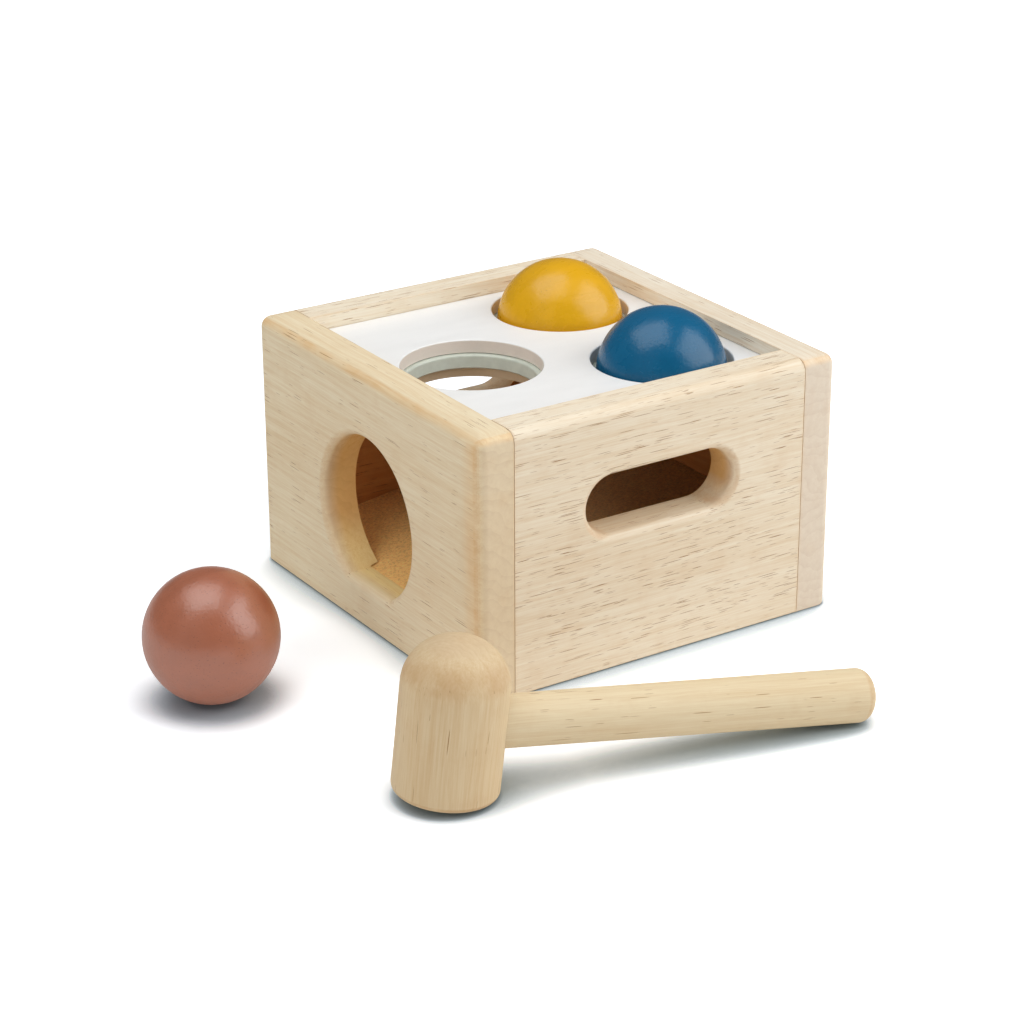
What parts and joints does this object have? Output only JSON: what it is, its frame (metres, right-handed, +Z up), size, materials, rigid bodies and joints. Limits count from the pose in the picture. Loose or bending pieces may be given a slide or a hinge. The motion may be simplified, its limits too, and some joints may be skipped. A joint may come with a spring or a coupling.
{
  "type": "pounding bench",
  "caption": "Square wooden box whose white top board holds painted balls in rubber-lined holes above a ramp to a round exit in one side, with hand slots and a round-headed wooden hammer.",
  "frame": {"origin": "on the floor under the middle of the set's footprint", "axes": "+X along the slotted front wall away from the exit hole, +Y from the front wall to the back wall, +Z up"},
  "size_m": [0.261, 0.2515, 0.1174],
  "materials": {
    "natural_wood": "smooth sanded, satin",
    "dowel_wood": "sanded, unfinished",
    "white_board": "white paint, satin",
    "ring_rubber": "translucent, glossy",
    "ramp_board": "brown fibre board, matt",
    "yellow_lacquer": "yellow paint, satin",
    "blue_lacquer": "blue paint, satin",
    "terracotta_lacquer": "terracotta paint, satin"
  },
  "bodies": {
    "box": {"left_wall": "natural_wood", "right_wall": "natural_wood", "front_wall": "natural_wood", "back_wall": "natural_wood", "ramp": "ramp_board", "hole_board": "white_board", "left_ring": "ring_rubber", "front_ring": "ring_rubber", "rear_ring": "ring_rubber", "dowel_front_left_low": "dowel_wood", "dowel_front_left_middle": "dowel_wood", "dowel_front_left_high": "dowel_wood", "dowel_back_left_low": "dowel_wood", "dowel_back_left_middle": "dowel_wood", "dowel_back_left_high": "dowel_wood", "dowel_front_right_low": "dowel_wood", "dowel_front_right_middle": "dowel_wood", "dowel_front_right_high": "dowel_wood", "dowel_back_right_low": "dowel_wood", "dowel_back_right_middle": "dowel_wood", "dowel_back_right_high": "dowel_wood"},
    "yellow_ball": {"yellow_ball": "yellow_lacquer"},
    "blue_ball": {"blue_ball": "blue_lacquer"},
    "red_ball": {"red_ball": "terracotta_lacquer"},
    "hammer": {"hammer_head": "natural_wood", "hammer_handle": "natural_wood"}
  },
  "joints": [
    {"name": "yellow_ball_slide", "type": "slide", "parent": "box", "child": "yellow_ball", "axis": [0, 0, 1], "range_m": [-0.035, 0.04], "deforming": ["rear_ring"]},
    {"name": "blue_ball_slide", "type": "slide", "parent": "box", "child": "blue_ball", "axis": [0, 0, 1], "range_m": [-0.035, 0.04], "deforming": ["front_ring"]},
    {"name": "red_ball_lift", "type": "slide", "parent": "box", "child": "red_ball", "axis": [0, 0, 1], "range_m": [0, 0.1]},
    {"name": "hammer_lift", "type": "slide", "parent": "box", "child": "hammer", "axis": [0, 0, 1], "range_m": [0, 0.1]}
  ]
}
